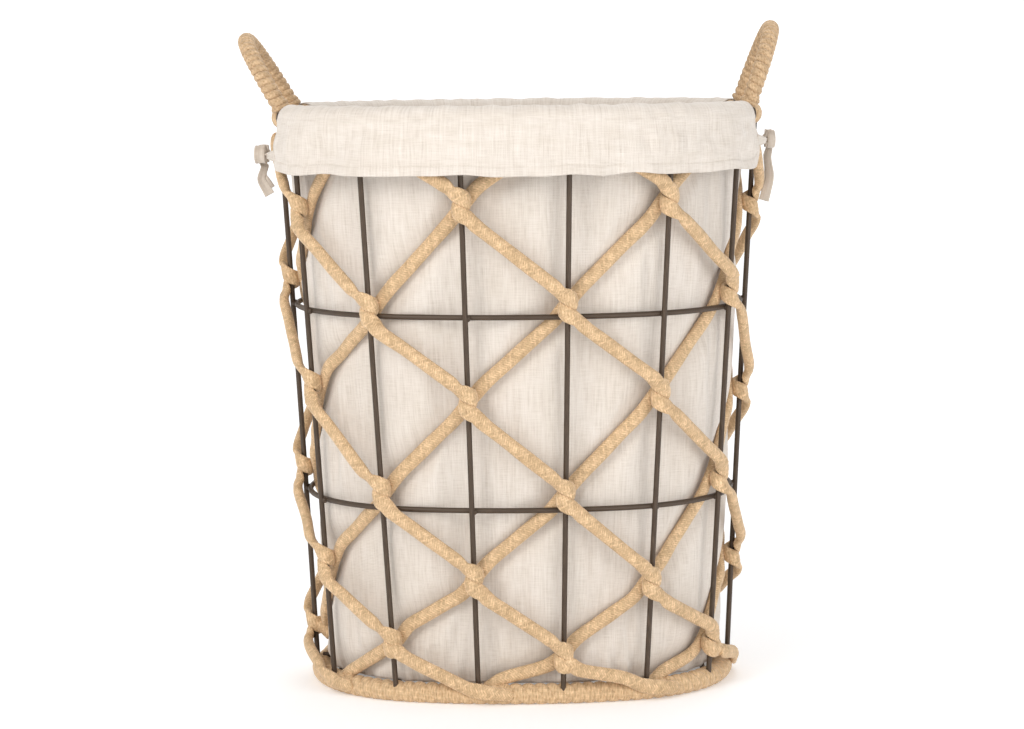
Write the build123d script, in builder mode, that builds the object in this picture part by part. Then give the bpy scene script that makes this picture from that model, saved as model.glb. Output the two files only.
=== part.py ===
from build123d import *
import os
from math import cos, degrees, radians, sin

# Laundry basket: a flared oval wire frame, a rope net knotted over it, two rope-wound handles that
# swing on the rim, and a tied-in linen liner. Millimetres, +Z up, origin at the middle of the footprint.
# +X runs along the long side, and the handles stand at the two ends.

# ---- driving dimensions ----
wire_d = 5.0  # every frame wire
weld_sink = 0.1  # how far two wires sink into each other at a weld
upright_count = 14

base_wrap_r = 10.0  # rope binding round the base ring
base_flat = 0.8  # how much the binding is pressed flat where it stands
rim_wrap_r = 11.0  # rope binding round the rim wire
wrap_fit = 0.25  # clearance between a binding and the wire that it is wound on
hole_fit = 0.6  # clearance round a wire that enters a binding from the side

rim_z = 540.0
upper_ring_drop = 42.0  # below the rim wire, as are the other drops
middle_ring_z = 363.0
lower_ring_z = 184.5

half_length_base, half_length_middle, half_length_rim = 198.4, 216.3, 226.5
half_depth_base, half_depth_middle, half_depth_rim = 139.0, 185.2, 205.1
side_turn, end_turn = 28.4, 38.8  # degrees that the front's and the end's flattest arc turns through
corner_share = 0.905  # corner radius, as a share of the smaller half-size

rope_d = 12.0  # net ropes
rope_gap = 1.0  # clearance from a rope to the wire it passes
rope_bend_r = 20.0
knot_heights = (0.8563, 0.688, 0.5235, 0.3608, 0.2076, 0.0734)  # shares of the way up from base ring to rim
rope_side_share = 0.1  # a rope's ends stand this share of the uprights' spacing beside their upright
rope_start_out = 1.0  # where an outside rope starts, measured out from the uprights
rope_shoulder_share, rope_shoulder_out = 0.47, 5.2  # where it passes under the cuff
rope_inside_lift = 3.0  # how much higher an inside rope ends at the base

handle_span = 124.0  # between the two feet
handle_height = 84.0  # rim wire to the middle of the grip
handle_wire_d = 6.0
handle_wrap_d = 15.0
handle_eye_r = 4.5  # inside radius of the eye round the rim wire
handle_foot_gap = 7.0  # half the break in the rim binding at each foot
lashing_r = 8.5
lashing_start, lashing_end = 14.5, 18.0  # distances from the rim wire
lean_left, lean_right = 30.5, 19.5  # degrees outward from upright

cloth_t = 1.5
cloth_gap = 0.4
liner_gap = 1.5  # from the inside ropes to the liner where they come nearest
liner_top_drop = 18.0
liner_shoulder = 22.0  # height over which the bag widens to meet the cuff
cuff_drop = 49.0
cuff_flare = 3.5  # how far the ropes push the cuff's lower edge out
cuff_foot_gap = 13.0  # from a handle foot to the end of the cuff

ribbon_w = 10.0
ribbon_t = 1.2
strap_drop_left, strap_drop_right = 34.0, 24.0
strap_out_left, strap_out_right = 10.6, 9.8  # from the uprights' middles to the strap, in its middle
bow_depth = 8.0
bow_loop_length, bow_loop_height = 24.0, 15.0
tail_length_left, tail_length_right = 38.0, 58.0
ribbon_sink = 0.5  # how far the bow's pieces sink into its knot
cut_past = 1.0  # how far a hole is cut past the surface it opens

# ---- derived places ----
base_z = base_wrap_r - base_flat
upper_ring_z = rim_z - upper_ring_drop
liner_top_z = rim_z - liner_top_drop
cuff_bottom_z = rim_z - cuff_drop
ring_inset = wire_d - weld_sink  # hoops run just inside the uprights
liner_base_z = base_z + 2 * (wire_d - weld_sink) + wire_d / 2 + cloth_gap
os.makedirs("parts", exist_ok=True)


def through(z, base, middle, rim):
    """A value at height z on the parabola through its base, middle-ring and rim values."""
    heights = (base_z, middle_ring_z, rim_z)
    total = 0.0
    for value, own in zip((base, middle, rim), heights):
        share = 1.0
        for other in heights:
            if other != own:
                share *= (z - other) / (own - other)
        total += value * share
    return total


def oval(z):
    """The uprights' outline at height z: nine tangent arcs (x, y, radius, from, to), by the angle of
    the outward normal, from the middle of the left end round by the front."""
    a = through(z, half_length_base, half_length_middle, half_length_rim)
    b = through(z, half_depth_base, half_depth_middle, half_depth_rim)
    side_half, end_half, corner_r = side_turn / 2, end_turn / 2, corner_share * min(a, b)
    side_sin, side_fall = sin(radians(side_half)), 1 - cos(radians(side_half))
    end_sin, end_fall = sin(radians(end_half)), 1 - cos(radians(end_half))
    # both radii follow from the corner arc having to meet the side's arc and the end's without a kink
    reach_x = a + corner_r * (side_sin - 1 + end_fall)
    reach_y = b + corner_r * (end_sin - 1 + side_fall)
    spare = side_sin * end_sin - side_fall * end_fall
    side_r = (reach_x * end_sin - reach_y * end_fall) / spare
    end_r = (reach_y * side_sin - reach_x * side_fall) / spare
    side_y, end_x = side_r - b, end_r - a
    corner_x = -(side_r - corner_r) * side_sin
    corner_y = side_y - (side_r - corner_r) * (1 - side_fall)
    left, right = 180, 360
    return (
        (end_x, 0, end_r, left, left + end_half),
        (corner_x, corner_y, corner_r, left + end_half, 270 - side_half),
        (0, side_y, side_r, 270 - side_half, 270 + side_half),
        (-corner_x, corner_y, corner_r, 270 + side_half, right - end_half),
        (-end_x, 0, end_r, right - end_half, right + end_half),
        (-corner_x, -corner_y, corner_r, right + end_half, 450 - side_half),
        (0, -side_y, side_r, 450 - side_half, 450 + side_half),
        (corner_x, -corner_y, corner_r, 450 + side_half, 540 - end_half),
        (end_x, 0, end_r, 540 - end_half, 540),
    )


def on_oval(z, normal, out=0.0, height=None):
    """The point of the outline whose outward normal has this angle, moved out along it."""
    turned = (normal - 180) % 360 + 180
    for x, y, r, start, end in oval(z):
        if start <= turned <= end:
            break
    across, along = cos(radians(turned)), sin(radians(turned))
    return Vector(x + (r + out) * across, y + (r + out) * along, z if height is None else height)


def normal_at(z, share):
    """The normal's angle at this share of the way round, by length, from the left end."""
    arcs = oval(z)
    lengths = [r * radians(end - start) for x, y, r, start, end in arcs]
    left_over = share % 1 * sum(lengths)
    for (x, y, r, start, end), length in zip(arcs, lengths):
        if left_over <= length:
            return start + degrees(left_over / r)
        left_over -= length
    return 540.0


def normal_for_y(z, out, y):
    """The normal's angle near the left end where the line moved out by this reaches this y."""
    low, high = 180.0, 260.0
    for step in range(50):
        middle = (low + high) / 2
        if on_oval(z, middle, out).Y > -abs(y):
            low = middle
        else:
            high = middle
    return low


def round_the_oval(z, out, first=180.0, last=540.0):
    """The outline at height z as arcs in the open line builder, from one normal to another."""
    for lap in (0, 360):
        for x, y, r, start, end in oval(z):
            begin, finish = max(first, start + lap), min(last, end + lap)
            if finish - begin > 1e-6:
                CenterArc((x, y), r + out, begin, finish - begin)


def post_point(index, z, out=0.0, height=None):
    return on_oval(z, normal_at(z, index / upright_count), out, height)


def run_sag(z):
    """How far a straight run from one upright to the next cuts inside the outline, at its tightest arc."""
    arcs = oval(z)
    spacing = sum(r * radians(end - start) for x, y, r, start, end in arcs) / upright_count
    return spacing**2 / (8 * min(r for x, y, r, start, end in arcs))


rope_outside = wire_d / 2 + rope_d / 2 + max(rope_gap, run_sag(middle_ring_z) - ring_inset)
rope_inside = -(ring_inset + wire_d / 2 + rope_d / 2 + rope_gap)
liner_inset = rope_d / 2 - rope_inside + run_sag(middle_ring_z) + liner_gap


def bound(part, label):
    part.label = label
    export_step(part, f"parts/{label}.step")


# ---- bare hoops, and the two that are bound in rope ----
for label, z in (
    ("base_ring", base_z),
    ("lower_ring", lower_ring_z),
    ("middle_ring", middle_ring_z),
    ("upper_ring", upper_ring_z),
    ("rim_wire", rim_z),
):
    with BuildPart() as ring:
        with BuildLine(Plane.XY.offset(z)) as hoop:
            round_the_oval(z, -ring_inset)
        with BuildSketch(Plane(origin=hoop.line @ 0, z_dir=hoop.line % 0)):
            Circle(wire_d / 2)
        sweep(path=hoop.line)
    bound(ring.part, label)

# ---- flared uprights, welded to the outside of the hoops ----
upright_foot_z = base_z - wire_d / 2
upright_top_z = rim_z + wire_d / 2
for index in range(upright_count):
    with BuildPart() as upright:
        with BuildLine() as bow:
            ThreePointArc(
                post_point(index, upright_foot_z),
                post_point(index, middle_ring_z),
                post_point(index, upright_top_z),
            )
        with BuildSketch(Plane(origin=bow.line @ 0, z_dir=bow.line % 0)):
            Circle(wire_d / 2)
        sweep(path=bow.line)
    bound(upright.part, f"upright_{index + 1:02d}")

# ---- floor wires, welded on top of the base ring ----
floor_z = base_z + wire_d - weld_sink
pairs = [(f"floor_bar_{i}", i, upright_count - i) for i in range(1, upright_count // 2)]
pairs.append(("floor_spine", 0, upright_count // 2))
floor_ends = {}
for label, start, end in pairs:
    lift = wire_d - weld_sink if label == "floor_spine" else 0.0
    near_end = post_point(start, base_z, -ring_inset, floor_z + lift)
    far_end = post_point(end, base_z, -ring_inset, floor_z + lift)
    floor_ends[label] = (near_end, far_end)
    with BuildPart() as bar:
        with BuildLine() as run:
            Line(near_end, far_end)
        with BuildSketch(Plane(origin=run.line @ 0, z_dir=run.line % 0)):
            Circle(wire_d / 2)
        sweep(path=run.line)
    bound(bar.part, label)


# ---- rope binding of the base ring, pressed flat underneath, with a hole for each wire that enters it ----
base_holes = []
for index in range(upright_count):
    low = post_point(index, upright_foot_z - hole_fit)
    base_holes.append((low, post_point(index, base_z + base_wrap_r + cut_past)))
for near_end, far_end in floor_ends.values():
    along = (far_end - near_end).normalized()
    base_holes.append((near_end - along * hole_fit, far_end + along * hole_fit))
with BuildPart() as base_wrap:
    with BuildLine(Plane.XY.offset(base_z)) as hoop:
        round_the_oval(base_z, -ring_inset, 270, 630)  # from the front's middle, clear of the wires
    with BuildSketch(Plane(origin=hoop.line @ 0, z_dir=hoop.line % 0)):
        Circle(base_wrap_r)
        Circle(wire_d / 2 + wrap_fit, mode=Mode.SUBTRACT)
    sweep(path=hoop.line)
    with Locations((0, 0, -base_wrap_r)):
        Box(4 * half_length_rim, 4 * half_depth_rim, 2 * base_wrap_r, mode=Mode.SUBTRACT)
    for low, high in base_holes:
        with BuildSketch(Plane(origin=low, z_dir=high - low)):
            Circle(wire_d / 2 + hole_fit)
        extrude(amount=(high - low).length, mode=Mode.SUBTRACT)
bound(base_wrap.part, "base_wrap")

# ---- rope binding of the rim, broken at the four handle feet ----
foot_normal = normal_for_y(rim_z, -ring_inset, handle_span / 2)
foot_turn = foot_normal - 180
rim_end_r = oval(rim_z)[0][2] - ring_inset
break_turn = degrees(handle_foot_gap / rim_end_r)
rim_stretches = {
    "rim_wrap_front": (180 + foot_turn + break_turn, 360 - foot_turn - break_turn),
    "rim_wrap_right": (360 - foot_turn + break_turn, 360 + foot_turn - break_turn),
    "rim_wrap_back": (360 + foot_turn + break_turn, 540 - foot_turn - break_turn),
    "rim_wrap_left": (540 - foot_turn + break_turn, 540 + foot_turn - break_turn),
}
for label, (first, last) in rim_stretches.items():
    with BuildPart() as wrap:
        with BuildLine(Plane.XY.offset(rim_z)) as stretch:
            round_the_oval(rim_z, -ring_inset, first, last)
        with BuildSketch(Plane(origin=stretch.line @ 0, z_dir=stretch.line % 0)):
            Circle(rim_wrap_r)
            Circle(wire_d / 2 + wrap_fit, mode=Mode.SUBTRACT)
        sweep(path=stretch.line)
        for index in range(upright_count):
            normal = normal_at(rim_z, index / upright_count)
            if not (first < normal < last or first < normal + 360 < last):
                continue
            low = post_point(index, rim_z - rim_wrap_r - cut_past)
            high = post_point(index, upright_top_z + hole_fit)
            with BuildSketch(Plane(origin=low, z_dir=high - low)):
                Circle(wire_d / 2 + hole_fit)
            extrude(amount=(high - low).length, mode=Mode.SUBTRACT)
    bound(wrap.part, label)

# ---- rope net: seven ropes lean one way outside the wires, seven the other way inside them ----
rim_end_z = rim_z - rim_wrap_r - rope_d / 2 + rope_gap
inside_end_z = liner_top_z - liner_shoulder + rope_d / 2
base_end_z = base_z + base_wrap_r + rope_d / 2


def net_rope(start, step, label):
    """One rope from the rim at upright start to the base ring seven uprights on."""
    outside = step > 0
    at_knot = rope_outside if outside else rope_inside
    side_step = rope_side_share * step
    points = []
    if outside:
        points.append(post_point(start + side_step, rim_end_z, rope_start_out))
        points.append(post_point(start + rope_shoulder_share * step, upper_ring_z, rope_shoulder_out))
    else:
        points.append(post_point(start + side_step, inside_end_z, rope_inside))
    for level, share in enumerate(knot_heights, 1):
        points.append(post_point(start + level * step, base_z + share * (rim_z - base_z), at_knot))
    last = start + (len(knot_heights) + 1) * step
    end_z = base_end_z if outside else base_end_z + rope_inside_lift
    points.append(post_point(last - side_step, end_z, at_knot))
    with BuildPart() as rope:
        with BuildLine() as route:
            FilletPolyline(*points, radius=rope_bend_r)
        with BuildSketch(Plane(origin=route.line @ 0, z_dir=route.line % 0)):
            Circle(rope_d / 2)
        sweep(path=route.line)
    bound(rope.part, label)


for number in range(upright_count // 2):
    net_rope(2 * number, 1, f"net_rope_s_{number + 1}")
    net_rope(2 * number, -1, f"net_rope_z_{number + 1}")

# ---- handles: wire with an eye at each foot, wound with cord, leaning outward at rest ----
foot_x = abs(on_oval(rim_z, foot_normal, -ring_inset).X)
arch_r = handle_span / 2
for side, lean in (("left", -lean_left), ("right", lean_right)):
    # the plane's x runs along the span, from the back foot's side to the front's, and its y up the handle
    foot = Vector(foot_x if side == "right" else -foot_x, 0, rim_z)
    leaning = Plane(origin=foot, x_dir=(0, 1, 0), z_dir=(cos(radians(lean)), 0, -sin(radians(lean))))

    def grip(from_rim):
        """The handle's middle line in its own plane, each leg starting this far from the rim wire."""
        shoulder = handle_height - arch_r
        Line((-arch_r, from_rim), (-arch_r, shoulder))
        ThreePointArc((-arch_r, shoulder), (0, handle_height), (arch_r, shoulder))
        Line((arch_r, shoulder), (arch_r, from_rim))

    eye_r = handle_eye_r + handle_wire_d / 2
    with BuildPart() as core:
        with BuildLine(leaning) as bow:
            grip(eye_r)
        with BuildSketch(Plane(origin=bow.line @ 0, z_dir=bow.line % 0)):
            Circle(handle_wire_d / 2)
        sweep(path=bow.line)
        for y in (-arch_r, arch_r):
            with Locations(Plane(origin=foot + Vector(0, y, 0), z_dir=(0, 1, 0))):
                Torus(eye_r, handle_wire_d / 2)
    bound(core.part, f"handle_core_{side}")

    with BuildPart() as wrap:
        with BuildLine(leaning) as bow:
            grip(lashing_end)
        with BuildSketch(Plane(origin=bow.line @ 0, z_dir=bow.line % 0)):
            Circle(handle_wrap_d / 2)
            Circle(handle_wire_d / 2 + wrap_fit, mode=Mode.SUBTRACT)
        sweep(path=bow.line)
    bound(wrap.part, f"handle_wrap_{side}")

    with BuildPart() as lashing:
        for x in (-arch_r, arch_r):
            start = leaning.from_local_coords(Vector(x, lashing_start, 0))
            end = leaning.from_local_coords(Vector(x, lashing_end, 0))
            with BuildSketch(Plane(origin=start, z_dir=end - start)):
                Circle(lashing_r)
                Circle(handle_wire_d / 2 + wrap_fit, mode=Mode.SUBTRACT)
            extrude(amount=lashing_end - lashing_start)
    bound(lashing.part, f"handle_lashing_{side}")

# ---- liner: a tapered bag inside the net, with a sewn-in bottom ----
fold_r = rim_wrap_r + cloth_gap
liner_levels = (  # height, the height whose outline is followed, distance inside it
    (liner_base_z, liner_base_z, liner_inset),
    (lower_ring_z, lower_ring_z, liner_inset),
    (middle_ring_z, middle_ring_z, liner_inset),
    (liner_top_z - liner_shoulder, liner_top_z - liner_shoulder, liner_inset),
    (liner_top_z, rim_z, ring_inset + fold_r),
)
with BuildPart() as wall:
    for inward, mode in ((0, Mode.ADD), (cloth_t, Mode.SUBTRACT)):
        for z, outline_z, inset in liner_levels:
            with BuildSketch(Plane.XY.offset(z)):
                with BuildLine(Plane.XY.offset(z)):
                    round_the_oval(outline_z, -inset - inward)
                make_face()
        loft(ruled=True, mode=mode)
bound(wall.part, "liner_wall")

with BuildPart() as bottom:
    with BuildSketch(Plane.XY.offset(liner_base_z)):
        with BuildLine(Plane.XY.offset(liner_base_z)):
            round_the_oval(liner_base_z, -liner_inset - cloth_t - cloth_gap / 2)
        make_face()
    extrude(amount=cloth_t)
bound(bottom.part, "liner_bottom")

# ---- cuff flaps: from the bag up, over the rim binding and down the outside ----
cuff_normal = normal_for_y(rim_z, -ring_inset, handle_span / 2 + cuff_foot_gap)
cuff_turn = cuff_normal - 180
for label, first, last in (
    ("liner_cuff_front", 180 + cuff_turn, 360 - cuff_turn),
    ("liner_cuff_back", 360 + cuff_turn, 540 - cuff_turn),
):
    with BuildPart() as cuff:
        with BuildLine(Plane.XY.offset(rim_z)) as fold_line:
            round_the_oval(rim_z, -ring_inset, first, last)
        outward = on_oval(rim_z, first, 1.0) - on_oval(rim_z, first)
        with BuildSketch(Plane(origin=fold_line.line @ 0, x_dir=outward, z_dir=fold_line.line % 0)):
            with BuildLine() as section:
                down, up = cuff_bottom_z - rim_z, liner_top_z - rim_z
                outer = fold_r + cloth_t
                flip = 1 if (fold_line.line % 0).cross(outward).Z > 0 else -1
                Line((fold_r + cuff_flare, flip * down), (outer + cuff_flare, flip * down))
                Line((outer + cuff_flare, flip * down), (outer, 0))
                ThreePointArc((outer, 0), (0, flip * outer), (-outer, 0))
                Line((-outer, 0), (-outer, flip * up))
                Line((-outer, flip * up), (-fold_r, flip * up))
                Line((-fold_r, flip * up), (-fold_r, 0))
                ThreePointArc((-fold_r, 0), (0, flip * fold_r), (fold_r, 0))
                Line((fold_r, 0), (fold_r + cuff_flare, flip * down))
            make_face()
        sweep(path=fold_line.line)
    bound(cuff.part, label)

# ---- ties: a strap across each end from flap to flap, with a bow in the middle ----
flap_edge = on_oval(rim_z, cuff_normal, fold_r + cloth_t + ribbon_t / 2 - ring_inset)
for side, drop, strap_out, tail_length in (
    ("left", strap_drop_left, strap_out_left, tail_length_left),
    ("right", strap_drop_right, strap_out_right, tail_length_right),
):
    sign = -1 if side == "left" else 1
    strap_z = rim_z - drop
    edge_x = sign * (abs(flap_edge.X) + cuff_flare * drop / cuff_drop)
    edge_y = abs(flap_edge.Y) - cloth_gap
    face_x = half_length_rim + strap_out + ribbon_t
    with BuildPart() as tie:
        with BuildLine() as band:
            ThreePointArc(
                (edge_x, -edge_y, strap_z),
                (sign * (face_x - ribbon_t / 2), 0, strap_z),
                (edge_x, edge_y, strap_z),
            )
        with BuildSketch(Plane(origin=band.line @ 0, x_dir=(0, 0, 1), z_dir=band.line % 0)):
            Rectangle(ribbon_w, ribbon_t)
        sweep(path=band.line)
        with Locations((sign * (face_x + bow_depth / 2 - ribbon_t / 2), 0, strap_z)):
            Box(bow_depth, ribbon_w, ribbon_w)
        for y_sign in (-1, 1):
            loop_y = y_sign * (ribbon_w + bow_loop_length) / 2
            length = bow_loop_length + 2 * ribbon_sink
            facing = Plane(origin=(sign * face_x, loop_y, strap_z), x_dir=(0, 1, 0), z_dir=(sign, 0, 0))
            with BuildSketch(facing):
                SlotOverall(length, bow_loop_height)
                SlotOverall(length - 2 * ribbon_t, bow_loop_height - 2 * ribbon_t, mode=Mode.SUBTRACT)
            extrude(amount=bow_depth)
            tail_z = strap_z - (ribbon_w + tail_length) / 2 + ribbon_sink
            with Locations((sign * (face_x + bow_depth / 2), y_sign * ribbon_w / 4, tail_z)):
                Box(bow_depth, ribbon_t, tail_length + 2 * ribbon_sink)
    bound(tie.part, f"tie_{side}")
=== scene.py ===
import math

import bpy
import numpy as np
from mathutils import Matrix, Vector


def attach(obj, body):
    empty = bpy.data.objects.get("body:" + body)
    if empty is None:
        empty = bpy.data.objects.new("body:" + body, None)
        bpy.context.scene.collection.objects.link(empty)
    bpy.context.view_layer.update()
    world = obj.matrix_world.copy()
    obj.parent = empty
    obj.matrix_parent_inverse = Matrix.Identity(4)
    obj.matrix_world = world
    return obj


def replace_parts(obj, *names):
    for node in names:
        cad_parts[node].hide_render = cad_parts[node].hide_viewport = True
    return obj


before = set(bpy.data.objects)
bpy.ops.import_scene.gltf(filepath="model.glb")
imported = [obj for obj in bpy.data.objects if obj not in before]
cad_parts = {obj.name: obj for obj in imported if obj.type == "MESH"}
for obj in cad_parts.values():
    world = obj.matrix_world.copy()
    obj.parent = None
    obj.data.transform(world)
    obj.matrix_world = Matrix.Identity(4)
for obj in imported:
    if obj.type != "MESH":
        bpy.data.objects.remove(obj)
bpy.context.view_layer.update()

# ---- driving dimensions, in metres, as in the CAD source ----
WIRE_R = 0.0025
WELD_SINK = 0.0001
UPRIGHTS = 14
BASE_WRAP_R, BASE_FLAT = 0.010, 0.0008
RIM_WRAP_R = 0.011
RIM_Z, UPPER_RING_Z, MIDDLE_RING_Z, LOWER_RING_Z = 0.540, 0.498, 0.363, 0.1845
HALF_LENGTH = (0.1984, 0.2163, 0.2265)  # base, middle ring, rim
HALF_DEPTH = (0.1390, 0.1852, 0.2051)
SIDE_TURN, END_TURN, CORNER_SHARE = 28.4, 38.8, 0.905
KNOT_HEIGHTS = (0.8563, 0.688, 0.5235, 0.3608, 0.2076, 0.0734)
HANDLE_SPAN, HANDLE_HEIGHT = 0.124, 0.084
HANDLE_FOOT_GAP = 0.007
LASHING_START = 0.0145
LEAN = {"left": -30.5, "right": 19.5}  # degrees
CUFF_BOTTOM_Z, LINER_TOP_Z = 0.491, 0.522
CUFF_FOOT_GAP, CUFF_FLARE, CLOTH_GAP = 0.013, 0.0035, 0.0004
STRAP_Z = {"left": 0.506, "right": 0.516}
STRAP_OUT = {"left": 0.0106, "right": 0.0098}
TAIL = {"left": 0.038, "right": 0.058}
RIBBON_W = 0.010

BASE_Z = BASE_WRAP_R - BASE_FLAT
RING_INSET = 2 * WIRE_R - WELD_SINK
FOLD_R = RIM_WRAP_R + CLOTH_GAP
UP = np.array((0.0, 0.0, 1.0))
chance = np.random.default_rng(14)


# ---- the basket's outline, as in the CAD source ----
def through(z, values):
    """The parabola through the base, middle-ring and rim values."""
    heights = (BASE_Z, MIDDLE_RING_Z, RIM_Z)
    total = 0.0
    for value, own in zip(values, heights):
        share = 1.0
        for other in heights:
            if other != own:
                share *= (z - other) / (own - other)
        total += value * share
    return total


def oval(z):
    """Nine tangent arcs (x, y, radius, from, to) by the outward normal's angle, from the left end by the front."""
    a, b = through(z, HALF_LENGTH), through(z, HALF_DEPTH)
    side_half, end_half, corner_r = SIDE_TURN / 2, END_TURN / 2, CORNER_SHARE * min(a, b)
    side_sin, side_fall = math.sin(math.radians(side_half)), 1 - math.cos(math.radians(side_half))
    end_sin, end_fall = math.sin(math.radians(end_half)), 1 - math.cos(math.radians(end_half))
    reach_x = a + corner_r * (side_sin - 1 + end_fall)
    reach_y = b + corner_r * (end_sin - 1 + side_fall)
    spare = side_sin * end_sin - side_fall * end_fall
    side_r = (reach_x * end_sin - reach_y * end_fall) / spare
    end_r = (reach_y * side_sin - reach_x * side_fall) / spare
    side_y, end_x = side_r - b, end_r - a
    corner_x = -(side_r - corner_r) * side_sin
    corner_y = side_y - (side_r - corner_r) * (1 - side_fall)
    return (
        (end_x, 0, end_r, 180, 180 + end_half),
        (corner_x, corner_y, corner_r, 180 + end_half, 270 - side_half),
        (0, side_y, side_r, 270 - side_half, 270 + side_half),
        (-corner_x, corner_y, corner_r, 270 + side_half, 360 - end_half),
        (-end_x, 0, end_r, 360 - end_half, 360 + end_half),
        (-corner_x, -corner_y, corner_r, 360 + end_half, 450 - side_half),
        (0, -side_y, side_r, 450 - side_half, 450 + side_half),
        (corner_x, -corner_y, corner_r, 450 + side_half, 540 - end_half),
        (end_x, 0, end_r, 540 - end_half, 540),
    )


def on_oval(z, normals, out=0.0):
    """Points of the outline at height z whose outward normals have these angles, moved out along them."""
    turned = (np.asarray(normals, float) - 180) % 360 + 180
    arcs = np.array(oval(z))
    which = np.clip(np.searchsorted(arcs[:, 4], turned), 0, len(arcs) - 1)
    x, y, r = arcs[which, 0], arcs[which, 1], arcs[which, 2] + out
    angle = np.radians(turned)
    return np.stack([x + r * np.cos(angle), y + r * np.sin(angle), np.full_like(x, z)], -1)


def normals_at(z, shares):
    """The normals' angles at these shares of the way round, by length, from the left end."""
    arcs = np.array(oval(z))
    ends = np.concatenate([[0], np.cumsum(arcs[:, 2] * np.radians(arcs[:, 4] - arcs[:, 3]))])
    shares = np.asarray(shares, float)
    laps = np.floor(shares)
    return np.interp((shares - laps) * ends[-1], ends, np.concatenate([[180], arcs[:, 4]])) + 360 * laps


def beside_post(index, z, across=0.0, out=0.0):
    """A point near an upright: this far across towards the next upright, and this far out."""
    normal = float(normals_at(z, index / UPRIGHTS))
    outward = np.array((math.cos(math.radians(normal)), math.sin(math.radians(normal)), 0.0))
    onward = np.cross(UP, outward)
    return on_oval(z, normal) + outward * out + onward * across


def normal_for_y(z, out, y):
    """The normal's angle near the left end where the line moved out by this reaches this y."""
    normals = np.linspace(180, 260, 4001)
    return float(np.interp(abs(y), -on_oval(z, normals, out)[:, 1], normals))


# ---- lines and meshes ----
def unit(vectors):
    return vectors / np.maximum(np.linalg.norm(vectors, axis=-1, keepdims=True), 1e-12)


def evenly(points, step):
    """The same line with points this far apart."""
    lengths = np.concatenate([[0], np.cumsum(np.linalg.norm(np.diff(points, axis=0), axis=1))])
    count = max(2, int(round(lengths[-1] / step)) + 1)
    at = np.linspace(0, lengths[-1], count)
    return np.stack([np.interp(at, lengths, points[:, k]) for k in range(points.shape[1])], 1)


def smooth_line(points, step):
    """A centripetal Catmull-Rom line through the points, with points this far apart."""
    p = np.asarray(points, float)
    p = np.concatenate([[2 * p[0] - p[1]], p, [2 * p[-1] - p[-2]]])
    pieces = []
    for a, b, c, d in zip(p, p[1:], p[2:], p[3:]):
        knots = np.cumsum([0] + [max(np.linalg.norm(v - u), 1e-9) ** 0.5 for u, v in ((a, b), (b, c), (c, d))])
        t = np.linspace(knots[1], knots[2], 24, endpoint=False)[:, None]
        t0, t1, t2, t3 = knots
        ab = (t1 - t) / (t1 - t0) * a + (t - t0) / (t1 - t0) * b
        bc = (t2 - t) / (t2 - t1) * b + (t - t1) / (t2 - t1) * c
        cd = (t3 - t) / (t3 - t2) * c + (t - t2) / (t3 - t2) * d
        abc = (t2 - t) / (t2 - t0) * ab + (t - t0) / (t2 - t0) * bc
        bcd = (t3 - t) / (t3 - t1) * bc + (t - t1) / (t3 - t1) * cd
        pieces.append((t2 - t) / (t2 - t1) * abc + (t - t1) / (t2 - t1) * bcd)
    return evenly(np.concatenate(pieces + [p[-2:-1]]), step)


def grid_faces(rows, columns, closed):
    """Quads of a grid of points, row after row, closed round each row or not."""
    row, column = np.meshgrid(np.arange(rows - 1), np.arange(columns if closed else columns - 1), indexing="ij")
    right = (column + 1) % columns
    a, b = row * columns + column, row * columns + right
    return np.stack([a, b, b + columns, a + columns], -1).reshape(-1, 4)


def make_piece(name, points, faces, material, body, slot, extra_faces=(), **attributes):
    """A smooth-shaded mesh that rides on a body. Each attribute is one number or one vector a point."""
    mesh = bpy.data.meshes.new(name)
    everything = [tuple(int(i) for i in f) for f in extra_faces]
    corners = np.concatenate([np.asarray(faces).ravel()] + [np.array(f) for f in everything]).astype(np.int32)
    sizes = np.array([np.asarray(faces).shape[1]] * len(faces) + [len(f) for f in everything], np.int32)
    starts = np.concatenate([[0], np.cumsum(sizes)[:-1]]).astype(np.int32)
    mesh.vertices.add(len(points))
    mesh.vertices.foreach_set("co", np.asarray(points, np.float32).ravel())
    mesh.loops.add(len(corners))
    mesh.loops.foreach_set("vertex_index", corners)
    mesh.polygons.add(len(sizes))
    mesh.polygons.foreach_set("loop_start", starts)
    mesh.update(calc_edges=True)
    mesh.polygons.foreach_set("use_smooth", np.ones(len(sizes), bool))
    for key, values in attributes.items():
        vector = np.asarray(values).ndim == 2
        attribute = mesh.attributes.new(key, "FLOAT_VECTOR" if vector else "FLOAT", "POINT")
        attribute.data.foreach_set("vector" if vector else "value", np.asarray(values, np.float32).ravel())
    mesh.validate()
    piece = bpy.data.objects.new(name, mesh)
    bpy.context.scene.collection.objects.link(piece)
    piece.data.materials.append(material)
    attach(piece, body)
    return piece


class Soft:
    """A smooth random field: a sum of waves, which repeats every period along its first coordinate."""

    def __init__(self, period, cycles, lengths, count=40):
        low, high = cycles
        self.turn = chance.integers(low, high + 1, count) * 2 * math.pi / period * chance.choice((-1, 1), count)
        self.rise = 2 * math.pi / chance.uniform(*lengths, count)
        self.phase = chance.uniform(0, 2 * math.pi, count)
        self.size = chance.uniform(0.4, 1.0, count) * math.sqrt(2 / count) / 0.73

    def __call__(self, u, v):
        total = np.zeros(np.broadcast(u, v).shape)
        for turn, rise, phase, size in zip(self.turn, self.rise, self.phase, self.size):
            total += size * np.cos(turn * u + rise * v + phase)
        return total


# ---- materials ----
def new_material(name):
    material = bpy.data.materials.new(name)
    material.use_nodes = True
    return material, material.node_tree.nodes, material.node_tree.links


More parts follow.
